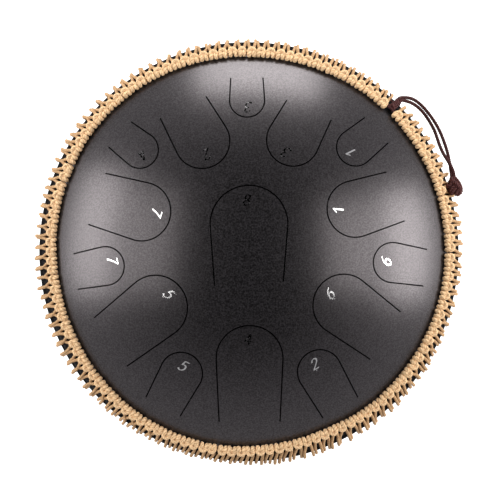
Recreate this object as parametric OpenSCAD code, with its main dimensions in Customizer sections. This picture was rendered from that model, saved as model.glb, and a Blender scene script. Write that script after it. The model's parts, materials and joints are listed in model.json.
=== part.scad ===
// Steel tongue drum: two domed steel shells welded at the rim, fifteen tongues slit into the
// upper one, three rubber feet, and a knotted rope edge held by a draw cord.
// +Z is up, the origin is on the floor under the drum's middle, +Y points to the top tongue.

/* [Shells] */
// Outer diameter of both steel shells at the rim
drum_d = 355.6; // [330:0.1:380]
// Height of each shell from the rim plane to its crown
shell_h = 80; // [72:0.5:90]
// Outer radius of the rounded rim between the dome and the rim plane
rim_r = 14; // [10:0.5:20]
// Thickness of the steel sheet
sheet_t = 1.8; // [1.2:0.1:2.5]
// Depth of the weld groove round the rim
weld_depth = 1.2; // [0.6:0.1:1.2]
// Diameter of the sound port in the lower shell
port_d = 84; // [60:1:100]

/* [Tongue lengths] */
// Width of the slit round each tongue
slit_w = 1.1; // [0.6:0.1:1.6]
// Length of the top tongue
top_l = 34.1; // [30:0.1:36]
// Length of the upper left wide tongue
upper_left_wide_l = 56.2; // [50:0.1:60]
// Length of the upper right wide tongue
upper_right_wide_l = 50.8; // [48:0.1:56]
// Length of the upper left narrow tongue
upper_left_narrow_l = 37.8; // [35:0.1:42]
// Length of the upper right narrow tongue
upper_right_narrow_l = 39.7; // [35:0.1:42]
// Length of the left wide tongue
left_wide_l = 64; // [56:0.1:68]
// Length of the right wide tongue
right_wide_l = 59.4; // [56:0.1:68]
// Length of the left narrow tongue
left_narrow_l = 42.5; // [38:0.1:48]
// Length of the right narrow tongue
right_narrow_l = 45.3; // [38:0.1:48]
// Length of the lower left wide tongue
lower_left_wide_l = 75.1; // [66:0.1:80]
// Length of the lower right wide tongue
lower_right_wide_l = 69.6; // [66:0.1:80]
// Length of the lower left narrow tongue
lower_left_narrow_l = 50.9; // [46:0.1:58]
// Length of the lower right narrow tongue
lower_right_narrow_l = 54.7; // [46:0.1:58]
// Length of the bottom tongue
bottom_l = 81.4; // [76:0.1:86]
// Length of the centre tongue
centre_l = 80.2; // [74:0.1:84]

/* [Tongue widths] */
// Width of the top tongue, the least of the narrow ones
narrow_w = 29; // [26:0.1:31]
// Width of the upper right wide tongue, the least of the wide ones
wide_w = 43.4; // [40:0.1:45]
// Width of the centre tongue
centre_w = 63.1; // [58:0.1:65]

/* [Rope edge] */
// Diameter of the rope that is knotted round the rim
rope_d = 2.4; // [2:0.1:3]
// Diameter of the draw cord inside both rows of knots
draw_cord_d = 2; // [1.6:0.1:2.4]
// Distance from the rim's outer edge in to the draw cord
row_inset = 9; // [7:0.5:12]
// Thickness of the lacing over the rim
lacing_t = 2.5; // [2:0.1:3]
// Opening between the two ends of the rope edge
gap_w = 9; // [8.6:0.1:12]
// Diameter of the sliding tie knot in that opening
tie_knot_d = 5.4; // [5:0.1:6]
// Length of the tie knot
tie_knot_l = 13; // [12:0.5:13.5]
// Diameter of the cut end that stands out of the tie knot
stub_d = 1.2; // [0.8:0.1:1.6]
// Length of that cut end from the knot's middle
stub_l = 8.5; // [6:0.5:10]
// Diameter of the end knot that joins both tails
end_knot_d = 11; // [9:0.5:12]
// Length of the end knot
end_knot_l = 15.5; // [14:0.5:15.5]

/* [Feet] */
// Radius of the circle that the feet stand on, at the shell
foot_circle_r = 85; // [65:1:100]
// Length of each foot along its own axis
foot_l = 19.8; // [17:0.1:26]
// Diameter of each foot where it meets the shell
foot_top_d = 27; // [24:0.5:32]
// Diameter of each foot at its lower end
foot_low_d = 22; // [20:0.5:24]
// Depth of the flat that each foot stands on
foot_flat = 1.5; // [1:0.1:2]
// Rubber left between the shell and the screw's washer
foot_web = 8; // [6:0.5:10]
// Diameter of the recess for the screw's head
recess_d = 10; // [9.6:0.1:12]
// Thread diameter of the foot screws
screw_d = 4; // [3:0.5:4]
// Diameter of the screw's head
screw_head_d = 7.6; // [7:0.1:8.4]
// Height of the screw's head
screw_head_h = 2.6; // [2.2:0.1:3]
// Width across the flats of the screw's hexagon socket
socket_af = 2.5; // [2:0.5:3]
// Depth of the socket
socket_depth = 1.5; // [1:0.1:1.6]
// Outer diameter of the washers
washer_d = 9; // [8.6:0.1:9.4]
// Thickness of the washers
washer_t = 0.8; // [0.5:0.1:1.2]
// Width across the flats of the nuts
nut_af = 7; // [6.6:0.1:8]
// Height of the nuts
nut_h = 3.2; // [2.4:0.1:4]
// Length of thread that stands past the nut
thread_past_nut = 1.5; // [0.5:0.1:3]

/* [Hidden] */

$fn = 120;

// Length by which a cut runs past what it cuts
overrun = 1;
// Gap between a tongue's root and the shell, so that the tongue can flex without rubbing
root_gap = 0.05;
// Distance by which each leg of a slit starts inside its tip circle
leg_inset = 0.02;
// Distance by which the rim's rounding is fuller than the circle that touches the domes
rim_proud = 0.04;
// Gap between hard pieces that are screwed together
seat_gap = 0.05;
// Gap between soft pieces and what they lie on
soft_gap = 0.3;
// Radial clearance of the screws in the rubber and in the shell
screw_clear = 0.2;
// Radial clearance of the screws in their washers and nuts
thread_clear = 0.05;
// Radius of the fine edge left at each end of the tie knot
tie_knot_end_r = 2.3;
// Length of the tapers at the ends of the tie knot
tie_knot_taper = 1.2;
// Radius of the end knot's face where the tails go in
end_knot_mouth_r = 2.6;
// Length of the taper behind that face
end_knot_mouth_taper = 4;
// Radius of the end knot's far face
end_knot_tip_r = 3;
// Length of the taper before the far face
end_knot_tip_taper = 4.5;

// Rim and dome. The dome is a sphere that runs smoothly into the rim's rounding.
rim_out_r = drum_d / 2;
rim_c = rim_out_r - rim_r;
dome_r = (shell_h * shell_h + rim_out_r * rim_out_r - 2 * rim_r * rim_out_r) / (2 * (shell_h - rim_r));
dome_drop = dome_r - shell_h;
blend_a = atan2(rim_c, dome_drop);

// Feet. Each one stands square to the lower dome, so the floor cuts a flat on its lower edge.
foot_tilt = asin(foot_circle_r / dome_r);
rim_z = dome_r * cos(foot_tilt) - dome_drop + foot_l * cos(foot_tilt)
    + foot_low_d / 2 * sin(foot_tilt) - foot_flat;
foot_bearings = [270, 30, 150];

// Heights of the washer's and the nut's seat in the foot's frame
washer_seat = -dome_r - seat_gap - foot_web - seat_gap;
nut_seat = -dome_r + sheet_t + seat_gap;

// Place of each tongue's tip circle as shares of the rim's radius, across and up, and the
// bearing of its root. The right-hand tongues are given and the left-hand ones mirror them.
top_shares = [0, 0.705, 90];
upper_wide_shares = [0.2095, 0.513, 61.7];
upper_narrow_shares = [0.499, 0.4783, 38.7];
wide_shares = [0.4918, 0.192, 16.6];
narrow_shares = [0.6667, -0.0577, -9.6];
lower_wide_shares = [0.432, -0.2494, -36.7];
lower_narrow_shares = [0.3206, -0.5585, -60.8];
bottom_shares = [-0.003, -0.4916, -90.7];
centre_shares = [0.002, 0.1271, -90.7];
// Width gained by a tongue for each millimetre that it is longer than the least of its kind
growth_share = 0.37;
// Width at the root as a share of the width at the tip circle
root_share = 0.925;
centre_root_share = 0.885;
// Share of the angle between tongue and radius by which a root is turned to the radius
root_turn_share = 0.8;
// Angle by which the centre tongue's root is turned
centre_root_turn = 3;

function on_left(p) = [-p[0], p[1], 180 - p[2]];
function narrow_width(l) = narrow_w + growth_share * (l - top_l);
function wide_width(l) = wide_w + growth_share * (l - upper_right_wide_l);
function narrow_row(p, l) = [p, l, narrow_width(l), root_share];
function wide_row(p, l) = [p, l, wide_width(l), root_share];

// One row for each tongue: place, length, width and share of the width at the root
TONGUES = [
    narrow_row(top_shares, top_l),
    wide_row(on_left(upper_wide_shares), upper_left_wide_l),
    wide_row(upper_wide_shares, upper_right_wide_l),
    narrow_row(on_left(upper_narrow_shares), upper_left_narrow_l),
    narrow_row(upper_narrow_shares, upper_right_narrow_l),
    wide_row(on_left(wide_shares), left_wide_l),
    wide_row(wide_shares, right_wide_l),
    narrow_row(on_left(narrow_shares), left_narrow_l),
    narrow_row(narrow_shares, right_narrow_l),
    wide_row(on_left(lower_wide_shares), lower_left_wide_l),
    wide_row(lower_wide_shares, lower_right_wide_l),
    narrow_row(on_left(lower_narrow_shares), lower_left_narrow_l),
    narrow_row(lower_narrow_shares, lower_right_narrow_l),
    wide_row(bottom_shares, bottom_l),
    [centre_shares, centre_l, centre_w, centre_root_share]
];
CENTRE_ROW = 14;

function tip_at(t) = [t[0][0] * rim_out_r, t[0][1] * rim_out_r];
function bearing(t) = t[0][2];
// Distance from the tip circle's centre to the root
function reach(t) = t[1] - t[2] / 2;
function root_at(t) = tip_at(t) + reach(t) * [cos(bearing(t)), sin(bearing(t))];
function half_turn(a) = a > 180 ? a - 360 : a < -180 ? a + 360 : a;
function root_turn(i) =
    let (t = TONGUES[i], p = root_at(t))
    i == CENTRE_ROW ? centre_root_turn
        : root_turn_share * half_turn(atan2(p[1], p[0]) - bearing(t));
// Angle at which each leg of the slit closes in towards the root
function leg_angle(t) =
    let (r = t[2] / 2, h = r * t[3], l = reach(t))
    asin(r / sqrt(l * l + h * h)) - atan2(h, l);

// Rows of knots. Their draw cord lies square above the dome, or above the rim's rounding.
row_d = draw_cord_d + 2 * rope_d;
row_r = rim_out_r - row_inset;
row_off = row_d / 2 + soft_gap;
on_dome = row_r < (dome_r + row_off) * sin(blend_a);
row_up = on_dome
    ? sqrt(pow(dome_r + row_off, 2) - row_r * row_r) - dome_drop
    : sqrt(pow(rim_r + row_off, 2) - pow(row_r - rim_c, 2));
row_a = on_dome ? asin(row_r / (dome_r + row_off)) : asin((row_r - rim_c) / (rim_r + row_off));

// Opening of the rope edge, and the tie knot that lies on the rim there
gap_bearing = 44.5;
gap_a = 2 * asin(gap_w / 2 / rim_out_r);
tie_off = rim_r + soft_gap + tie_knot_d / 2;
tie_r = rim_c + tie_off * sin(blend_a);
tie_up = tie_off * cos(blend_a);
// Share of the tie knot's length that lies above its middle on the rim
tie_above_share = 0.52;
// Angles of the cut end, round the tie knot's length and away from it
stub_turn = 119;
stub_lean = 69;

// Seat of the end knot against the lacing
end_knot_bearing = 16.9;
end_knot_lift = 32.7;
end_knot_off = rim_r + soft_gap + lacing_t + soft_gap + end_knot_d / 2;
end_knot_r = rim_c + end_knot_off * cos(end_knot_lift);
end_knot_up = end_knot_off * sin(end_knot_lift);

// Number of flat sides on a cord's tube
CORD_SIDES = 8;

// Routes of the two tails from the tie knot to the end knot
OUTER_ROUTE = [
    [127.7, 127.0, 93.9], [129.1, 128.3, 92.1], [132.9, 128.9, 89.6], [137.6, 128.5, 87.4],
    [141.9, 127.0, 85.7], [146.6, 123.7, 84.2], [151.3, 119.0, 83.3], [156.0, 112.9, 83.0],
    [160.4, 106.0, 83.2], [164.0, 98.5, 84.1], [166.9, 90.4, 85.7], [169.1, 82.3, 88.0],
    [170.5, 74.2, 91.0], [171.2, 67.0, 94.6], [171.4, 62.8, 97.2], [171.6, 60.4, 98.2]
];
INNER_ROUTE = [
    [129.2, 125.4, 93.9], [130.5, 126.4, 92.1], [134.0, 126.0, 89.4], [138.3, 124.8, 86.9],
    [142.9, 122.4, 84.9], [147.5, 118.6, 83.2], [151.7, 113.6, 82.2], [155.3, 107.9, 82.0],
    [158.5, 101.7, 82.6], [160.7, 95.5, 84.0], [162.5, 89.1, 86.2], [164.8, 82.8, 89.2],
    [167.5, 77.3, 92.4], [170.6, 71.6, 95.4], [172.9, 65.6, 97.6], [173.7, 60.9, 98.2]
];

steel_tone = "#2b2b2e";
weld_tone = "#3a3a3d";
rope_tone = "#dcb483";
cord_tone = "#44262b";
rubber_tone = "#1b1b1c";
zinc_tone = "#b9bcc0";

// Section of the drum from its axis out to the rim, grown by a margin. Each dome is filled
// down past the rim plane, and the rim's circle stands a hair proud of both where they meet.
module section(margin) {
    far = 2 * dome_r;
    base = dome_drop - overrun;
    for (flip = [0, 1])
        mirror([0, flip])
            translate([0, -dome_drop])
                intersection() {
                    circle(r = dome_r + margin);
                    polygon([
                        [0, base],
                        [base * tan(blend_a), base],
                        far * [sin(blend_a), cos(blend_a)],
                        far * [sin(blend_a / 2), cos(blend_a / 2)],
                        [0, far]
                    ]);
                }
    translate([rim_c - rim_proud, 0])
        circle(r = rim_r + rim_proud + margin);
}

// Wall profile of a shell above the rim plane
module shell_profile() {
    intersection() {
        difference() {
            section(0);
            section(-sheet_t);
        }
        square([drum_d, 2 * shell_h]);
    }
}

// Profile of the weld groove, pointed inwards
module groove_profile() {
    polygon([
        [rim_out_r - weld_depth, 0],
        [rim_out_r + weld_depth, 2 * weld_depth],
        [rim_out_r + weld_depth, -2 * weld_depth]
    ]);
}

// A shell with its weld groove, above the rim plane
module plain_shell() {
    rotate_extrude($fn = 360)
        difference() {
            shell_profile();
            groove_profile();
        }
}

// Wall of the upper dome alone. The spheres' poles are turned away from the crown.
module dome_wall() {
    translate([0, 0, -dome_drop])
        rotate([90, 0, 0])
            difference() {
                sphere(r = dome_r, $fn = 360);
                sphere(r = dome_r - sheet_t, $fn = 360);
            }
}

// Upright block with a tongue's outline, grown by a margin on its sides and cut back at its
// root
module tongue_block(i, margin, root_cut) {
    t = TONGUES[i];
    r = t[2] / 2 + margin;
    side = r - leg_inset;
    leg = leg_angle(t);
    turn = root_turn(i);
    l = reach(t) - root_cut;
    h = side / cos(leg) - l * tan(leg);
    up = h / (1 + tan(leg) * tan(turn));
    down = h / (1 - tan(leg) * tan(turn));
    translate(tip_at(t))
        rotate([0, 0, bearing(t)]) {
            cylinder(h = shell_h + overrun, r = r);
            linear_extrude(height = shell_h + overrun)
                polygon([
                    side * [sin(leg), cos(leg)],
                    [l - up * tan(turn), up],
                    [l + down * tan(turn), -down],
                    side * [sin(leg), -cos(leg)]
                ]);
        }
}

// The whole rope edge's opening is left out of what is turned round the drum here
module round_the_rim() {
    translate([0, 0, rim_z])
        rotate([0, 0, gap_bearing + gap_a / 2])
            rotate_extrude(angle = 360 - gap_a, $fn = 360)
                children();
}

// Tie knot's own frame: its length runs down over the rim and its back faces the steel
module at_tie_knot() {
    rotate([0, 0, gap_bearing])
        translate([tie_r, 0, rim_z + tie_up])
            rotate([0, 90 + blend_a, 0])
                children();
}

// Each foot's own frame: the lower dome's centre, with the foot straight below it
module at_foot(i) {
    rotate([0, 0, foot_bearings[i]])
        translate([0, 0, rim_z + dome_drop])
            rotate([0, -foot_tilt, 0])
                children();
}

module at_feet() {
    for (i = [0 : len(foot_bearings) - 1])
        at_foot(i)
            children();
}

function unit(v) = v / norm(v);
function along(route, i) =
    unit(route[min(i + 1, len(route) - 1)] - route[max(i - 1, 0)]);
function ring_point(route, i, k) =
    let (
        t = along(route, i),
        side = unit(cross(t, [0, 0, 1])),
        up = cross(side, t),
        a = 360 * k / CORD_SIDES
    )
    route[i] + draw_cord_d / 2 * (cos(a) * side + sin(a) * up);

// Tube of the draw cord along a route
module cord_tube(route) {
    rings = len(route);
    points = [for (i = [0 : rings - 1]) for (k = [0 : CORD_SIDES - 1]) ring_point(route, i, k)];
    first = [[for (k = [0 : CORD_SIDES - 1]) k]];
    last = [[for (k = [CORD_SIDES - 1 : -1 : 0]) (rings - 1) * CORD_SIDES + k]];
    sides = [
        for (i = [0 : rings - 2])
            for (k = [0 : CORD_SIDES - 1])
                let (a = i * CORD_SIDES + k, b = i * CORD_SIDES + (k + 1) % CORD_SIDES)
                    for (f = [[a, a + CORD_SIDES, b + CORD_SIDES], [a, b + CORD_SIDES, b]]) f
    ];
    polyhedron(points = points, faces = concat(first, sides, last));
}

module top_shell() {
    color(steel_tone)
        translate([0, 0, rim_z])
            difference() {
                plain_shell();
                for (i = [0 : len(TONGUES) - 1])
                    tongue_block(i, slit_w / 2, 0);
            }
}

module tongue(i) {
    color(steel_tone)
        translate([0, 0, rim_z])
            intersection() {
                dome_wall();
                tongue_block(i, -slit_w / 2, root_gap);
            }
}

module bottom_shell() {
    color(steel_tone)
        difference() {
            translate([0, 0, rim_z])
                mirror([0, 0, 1])
                    plain_shell();
            cylinder(h = rim_z, d = port_d);
            at_feet()
                translate([0, 0, -dome_r - overrun])
                    cylinder(h = sheet_t + 2 * overrun, d = screw_d + 2 * screw_clear);
        }
}

module rim_weld() {
    color(weld_tone)
        translate([0, 0, rim_z])
            rotate_extrude($fn = 360)
                intersection() {
                    section(0);
                    groove_profile();
                }
}

module row_cord(up) {
    translate([0, 0, rim_z + up])
        rotate_extrude($fn = 360)
            translate([row_r, 0])
                circle(d = draw_cord_d);
}

module upper_draw_cord() {
    color(cord_tone)
        row_cord(row_up);
}

module lower_draw_cord() {
    color(cord_tone)
        row_cord(-row_up);
}

module knot_row(up) {
    round_the_rim()
        translate([row_r, up])
            difference() {
                circle(d = row_d);
                circle(d = draw_cord_d + 2 * thread_clear);
            }
}

module upper_knot_row() {
    color(rope_tone)
        knot_row(row_up);
}

module lower_knot_row() {
    color(rope_tone)
        knot_row(-row_up);
}

module rim_lacing() {
    color(rope_tone)
        round_the_rim()
            difference() {
                section(soft_gap + lacing_t);
                section(soft_gap);
                translate([0, -drum_d])
                    square([row_r, 2 * drum_d]);
                for (up = [row_up, -row_up])
                    translate([row_r, up])
                        circle(d = row_d + 2 * thread_clear);
            }
}

module tie_knot() {
    above = tie_knot_l * tie_above_share;
    color(cord_tone)
        at_tie_knot() {
            rotate_extrude()
                polygon([
                    [0, -above],
                    [tie_knot_end_r, -above],
                    [tie_knot_d / 2, tie_knot_taper - above],
                    [tie_knot_d / 2, tie_knot_l - above - tie_knot_taper],
                    [tie_knot_end_r, tie_knot_l - above],
                    [0, tie_knot_l - above]
                ]);
            rotate([0, 0, stub_turn])
                rotate([0, stub_lean, 0])
                    cylinder(h = stub_l, d = stub_d);
        }
}

module outer_tail() {
    color(cord_tone)
        cord_tube(OUTER_ROUTE);
}

module inner_tail() {
    color(cord_tone)
        cord_tube(INNER_ROUTE);
}

module end_knot() {
    color(cord_tone)
        rotate([0, 0, end_knot_bearing])
            translate([end_knot_r, end_knot_l / 2, rim_z + end_knot_up])
                rotate([90, 0, 0])
                    rotate_extrude()
                        polygon([
                            [0, 0],
                            [end_knot_mouth_r, 0],
                            [end_knot_d / 2, end_knot_mouth_taper],
                            [end_knot_d / 2, end_knot_l - end_knot_tip_taper],
                            [end_knot_tip_r, end_knot_l],
                            [0, end_knot_l]
                        ]);
}

module foot(i) {
    seat = dome_r + seat_gap;
    color(rubber_tone)
        difference() {
            at_foot(i)
                difference() {
                    translate([0, 0, -dome_r - foot_l])
                        cylinder(h = foot_l + overrun, d1 = foot_low_d, d2 = foot_top_d);
                    sphere(r = seat, $fn = 360);
                    translate([0, 0, -dome_r - foot_l - overrun])
                        cylinder(h = foot_l + overrun - foot_web - seat_gap, d = recess_d);
                    translate([0, 0, -dome_r - foot_l])
                        cylinder(h = foot_l, d = screw_d + 2 * screw_clear);
                }
            translate([-rim_out_r, -rim_out_r, -foot_l])
                cube([drum_d, drum_d, foot_l]);
        }
}

module foot_screws() {
    head_top = washer_seat - washer_t - seat_gap;
    color(zinc_tone)
        at_feet()
            difference() {
                union() {
                    translate([0, 0, head_top - screw_head_h])
                        cylinder(h = screw_head_h, d = screw_head_d);
                    translate([0, 0, head_top - screw_head_h / 2])
                        cylinder(h = nut_seat + nut_h + thread_past_nut - head_top + screw_head_h / 2,
                            d = screw_d);
                }
                translate([0, 0, head_top - screw_head_h - overrun])
                    cylinder(h = socket_depth + overrun, d = socket_af / cos(30), $fn = 6);
            }
}

module foot_washers() {
    color(zinc_tone)
        at_feet()
            translate([0, 0, washer_seat - washer_t])
                difference() {
                    cylinder(h = washer_t, d = washer_d);
                    translate([0, 0, -overrun])
                        cylinder(h = washer_t + 2 * overrun, d = screw_d + 2 * thread_clear);
                }
}

module foot_nuts() {
    color(zinc_tone)
        at_feet()
            translate([0, 0, nut_seat])
                difference() {
                    cylinder(h = nut_h, d = nut_af / cos(30), $fn = 6);
                    translate([0, 0, -overrun])
                        cylinder(h = nut_h + 2 * overrun, d = screw_d + 2 * thread_clear);
                }
}

top_shell();
tongue(0);  // top_tongue
tongue(1);  // upper_left_wide_tongue
tongue(2);  // upper_right_wide_tongue
tongue(3);  // upper_left_narrow_tongue
tongue(4);  // upper_right_narrow_tongue
tongue(5);  // left_wide_tongue
tongue(6);  // right_wide_tongue
tongue(7);  // left_narrow_tongue
tongue(8);  // right_narrow_tongue
tongue(9);  // lower_left_wide_tongue
tongue(10);  // lower_right_wide_tongue
tongue(11);  // lower_left_narrow_tongue
tongue(12);  // lower_right_narrow_tongue
tongue(13);  // bottom_tongue
tongue(14);  // centre_tongue
bottom_shell();
rim_weld();
upper_draw_cord();
lower_draw_cord();
upper_knot_row();
lower_knot_row();
rim_lacing();
tie_knot();
outer_tail();
inner_tail();
end_knot();
foot(0);  // front_foot
foot(1);  // right_foot
foot(2);  // left_foot
foot_screws();
foot_washers();
foot_nuts();
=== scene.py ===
"""Looks of a steel tongue drum: two powder-coated shells with etched numerals on the tongues,
a knotted rope edge held by brown draw cords, rubber feet and a plain pale studio."""

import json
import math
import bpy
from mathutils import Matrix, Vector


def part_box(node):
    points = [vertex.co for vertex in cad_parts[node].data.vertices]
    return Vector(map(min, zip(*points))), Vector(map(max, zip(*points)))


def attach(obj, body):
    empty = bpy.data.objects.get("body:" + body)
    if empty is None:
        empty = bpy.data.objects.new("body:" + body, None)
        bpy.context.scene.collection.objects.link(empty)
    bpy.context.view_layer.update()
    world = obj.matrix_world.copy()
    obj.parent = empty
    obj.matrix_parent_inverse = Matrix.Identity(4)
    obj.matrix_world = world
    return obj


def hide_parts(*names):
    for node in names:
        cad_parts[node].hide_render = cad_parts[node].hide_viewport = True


bl_info = {
    "name": "Steel Tongue Drum",
    "version": (1, 0, 0),
    "blender": (4, 5, 0),
    "location": "3D View > Sidebar > Tongue Drum",
    "description": "Dresses the packed steel tongue drum and sets up its studio",
    "category": "Object",
}

import bpy
import numpy as np
from bpy.props import FloatProperty, FloatVectorProperty, IntProperty, PointerProperty
from mathutils import Vector
from mathutils.geometry import delaunay_2d_cdt

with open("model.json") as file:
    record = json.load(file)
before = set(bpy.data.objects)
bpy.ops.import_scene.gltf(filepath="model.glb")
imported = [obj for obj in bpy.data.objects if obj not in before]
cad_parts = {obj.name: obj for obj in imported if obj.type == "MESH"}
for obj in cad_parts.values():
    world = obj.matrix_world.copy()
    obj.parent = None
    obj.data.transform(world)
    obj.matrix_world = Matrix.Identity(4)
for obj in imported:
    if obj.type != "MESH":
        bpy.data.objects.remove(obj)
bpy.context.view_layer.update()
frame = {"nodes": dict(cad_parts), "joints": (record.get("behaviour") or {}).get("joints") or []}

MM = 0.001
ROOT_BODY = "drum"

# Steel outline from the frame: a dome on each side of the rim, blended by a rounded rim
RIM_LOW, RIM_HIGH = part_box("rim_weld")
RIM_R = RIM_HIGH.x
RIM_Z = (RIM_LOW.z + RIM_HIGH.z) / 2
SHELL_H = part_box("centre_tongue")[1].z - RIM_Z
ROUND_R = 14 * MM
SHEET = 1.8 * MM
RIM_C = RIM_R - ROUND_R
DOME_R = (SHELL_H**2 + RIM_R**2 - 2 * ROUND_R * RIM_R) / (2 * (SHELL_H - ROUND_R))
DOME_DROP = DOME_R - SHELL_H
BLEND = math.atan2(RIM_C, DOME_DROP)
RIM_ARC = ROUND_R * (math.pi / 2 - BLEND)
# Distance from a surface within which a mesh point counts as lying on it
ON_SURFACE = 0.15 * MM
# Least likeness of a face's direction and the steel's for it to be shaded as that surface
SURFACE_LIKENESS = 0.7
# Least likeness of two wall faces' directions for them to be shaded as one curve
WALL_LIKENESS = 0.8
# Gap at a tongue's root, which its copy closes
ROOT_GAP = 0.05 * MM

# Strands in the rope and in the cord, and the length of either that a unit of the UV map covers
PLIES = 3
UV_RUN = 10 * MM
# Distance between the points along a cord, and in mm along the rope of the knots and the legs
CORD_STEP = 0.5 * MM
KNOT_STEP = 0.8
LEG_STEP = 0.85
# Width of a tail across its strands' ridges, over its diameter
TAIL_SWELL = 1.06
# Share of the rope's red, green and blue that stays on the legs outside the rim, darkened as painted
# shade
LEG_SHADE = (0.64, 0.59, 0.54)

# Rope edge, measured along the steel from the rim plane and square off it
ROW_R = 168.8 * MM
ROW_S = 21.0 * MM
ROW_N = 3.7 * MM
GAP_BEARING = math.radians(44.5)
GAP_HALF = math.radians(1.45)
# How far the knots wander inwards, every 15 degrees from 7.5, in mm
ROW_WANDER = [
    0.8, 0.6, 0.3, 1.2, 2.2, 2.4, 1.7, 0.5, 0.2, 0.6, 3.0, 4.2, 5.8, 5.5, 4.2, 2.3, 1.8, 1.8,
    4.0, 5.0, 3.0, 2.8, 1.9, 1.3,
]
# How far the rope's tips stand out beyond the steel, at the same bearings, in mm
TIP_REACH = [
    3.0, 2.8, 2.6, 1.9, 1.5, 1.4, 1.8, 2.5, 3.7, 4.0, 3.2, 2.8, 3.4, 3.5, 3.4, 3.0, 2.4, 1.9,
    3.0, 3.6, 3.5, 2.9, 2.1, 2.6,
]
# How far the tips lean round the drum from the middle between two knots, every 30 degrees
# from +X, in mm
TIP_LEAN = [-1.6, -1.0, 0.3, -0.5, 1.0, 1.8, 0.3, 0.2, -1.6, -2.6, -3.0, -2.4]
# Half the distance between the two legs of a tip, and the share of tips where they cross
TIP_SPREAD = [0.8, 0.95, 1.5, 0.9, 0.7, 0.5, 0.45, 0.55, 1.4, 1.8, 0.8, 1.2]
CROSSED = [0.3, 0.3, 0.1, 0.2, 0.4, 0.5, 0.8, 0.35, 0.2, 0.1, 0.2, 0.2]

# Tails, from the tie knot to the end knot, in metres
OUTER_ROUTE = [
    (0.1277, 0.1270, 0.0939), (0.1291, 0.1283, 0.0921), (0.1329, 0.1289, 0.0896),
    (0.1376, 0.1285, 0.0874), (0.1419, 0.1270, 0.0857), (0.1466, 0.1237, 0.0842),
    (0.1513, 0.1190, 0.0833), (0.1560, 0.1129, 0.0830), (0.1604, 0.1060, 0.0832),
    (0.1640, 0.0985, 0.0841), (0.1669, 0.0904, 0.0857), (0.1691, 0.0823, 0.0880),
    (0.1705, 0.0742, 0.0910), (0.1712, 0.0670, 0.0946), (0.1714, 0.0628, 0.0972),
    (0.1716, 0.0604, 0.0982),
]
INNER_ROUTE = [
    (0.1292, 0.1254, 0.0939), (0.1305, 0.1264, 0.0921), (0.1340, 0.1260, 0.0894),
    (0.1383, 0.1248, 0.0869), (0.1429, 0.1224, 0.0849), (0.1475, 0.1186, 0.0832),
    (0.1517, 0.1136, 0.0822), (0.1553, 0.1079, 0.0820), (0.1585, 0.1017, 0.0826),
    (0.1607, 0.0955, 0.0840), (0.1625, 0.0891, 0.0862), (0.1648, 0.0828, 0.0892),
    (0.1675, 0.0773, 0.0924), (0.1706, 0.0716, 0.0954), (0.1729, 0.0656, 0.0976),
    (0.1737, 0.0609, 0.0982),
]

# Pen strokes of the numerals in a box one unit high. A new list starts where the pen turns
# sharply.
STROKES = {
    "1": [[(0.1, 0.72), (0.42, 1.0)], [(0.4, 1.0), (0.4, 0.0)]],
    "2": [
        [(0.04, 0.72), (0.1, 0.9), (0.3, 1.0), (0.52, 0.9), (0.54, 0.68), (0.36, 0.4), (0.02, 0.0)],
        [(0.02, 0.0), (0.58, 0.0)],
    ],
    "3": [
        [(0.04, 0.84), (0.16, 0.97), (0.36, 1.0), (0.53, 0.86), (0.48, 0.66), (0.24, 0.55)],
        [(0.24, 0.55), (0.5, 0.46), (0.56, 0.22), (0.4, 0.03), (0.18, 0.0), (0.02, 0.14)],
    ],
    "4": [[(0.42, 1.0), (0.0, 0.3)], [(0.0, 0.3), (0.62, 0.3)], [(0.44, 1.0), (0.44, 0.0)]],
    "5": [
        [(0.58, 1.0), (0.16, 1.0)],
        [(0.16, 1.0), (0.1, 0.56)],
        [(0.1, 0.56), (0.3, 0.64), (0.52, 0.52), (0.56, 0.24), (0.38, 0.02), (0.14, 0.0), (0.0, 0.12)],
    ],
    "6": [
        [(0.56, 0.98), (0.26, 0.82), (0.06, 0.5), (0.04, 0.2), (0.2, 0.0), (0.44, 0.04), (0.57, 0.26)],
        [(0.57, 0.26), (0.5, 0.5), (0.28, 0.56), (0.08, 0.4)],
    ],
    "7": [[(0.02, 0.98), (0.6, 0.98)], [(0.6, 0.98), (0.34, 0.5), (0.2, 0.0)]],
    "8": [
        [(0.3, 0.53), (0.08, 0.7), (0.12, 0.93), (0.32, 1.0), (0.5, 0.9), (0.48, 0.68), (0.3, 0.53)],
        [(0.3, 0.53), (0.02, 0.32), (0.08, 0.06), (0.3, 0.0), (0.54, 0.08), (0.56, 0.32), (0.3, 0.53)],
    ],
    ".": [[(0.26, -0.14), (0.32, -0.14)]],
}
# Tongue, its numeral, the numeral's middle across and up in mm, where its top points, and whether it
# is bright or darkened as painted shade
NUMERALS = [
    ("top_tongue", "3", 1.0, 119.3, 270, False),
    ("upper_left_wide_tongue", "2", -33.2, 80.0, 298, False),
    ("upper_right_wide_tongue", "3", 31.3, 80.9, 242, False),
    ("upper_left_narrow_tongue", "4", -86.8, 80.9, 321, False),
    ("upper_right_narrow_tongue", "1", 85.0, 80.9, 219, True),
    ("left_wide_tongue", "7", -75.0, 32.2, 343, True),
    ("right_wide_tongue", "1", 73.5, 33.4, 187, True),
    ("left_narrow_tongue", "7", -112.1, -6.6, 10, True),
    ("right_narrow_tongue", "6", 113.0, -9.0, 170, True),
    ("lower_left_wide_tongue", "5.", -65.9, -34.2, 37, True),
    ("lower_right_wide_tongue", "6.", 66.5, -35.3, 143, True),
    ("lower_left_narrow_tongue", "5", -54.9, -93.2, 61, True),
    ("lower_right_narrow_tongue", "2.", 53.2, -93.2, 119, True),
    ("bottom_tongue", "4", -1.7, -71.4, 89, False),
    ("centre_tongue", "8", -1.1, 42.1, 89, False),
]


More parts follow.
